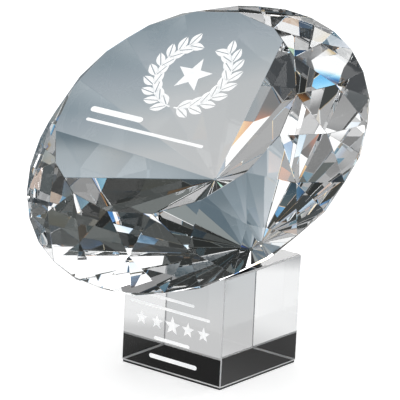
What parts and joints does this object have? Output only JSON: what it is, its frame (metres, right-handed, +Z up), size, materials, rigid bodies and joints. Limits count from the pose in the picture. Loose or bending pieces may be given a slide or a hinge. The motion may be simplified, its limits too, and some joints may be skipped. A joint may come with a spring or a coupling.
{
  "type": "crystal award",
  "caption": "Brilliant-cut clear crystal diamond leaning forward on one facet, bonded to the top of a square crystal block with a black underside.",
  "frame": {"origin": "middle of the black underside, on the surface the award stands on", "axes": "+Z up; -Y towards the front, the way the diamond leans; +X to the right as seen from the front"},
  "size_m": [0.1438, 0.1096, 0.1431],
  "materials": {
    "optical_glass": "clear, polished",
    "cured_adhesive": "clear",
    "black_sheet": "black, satin"
  },
  "bodies": {
    "root": {"diamond": "optical_glass", "crystal_block": "optical_glass", "adhesive_film": "cured_adhesive", "black_underside": "black_sheet"}
  },
  "joints": []
}
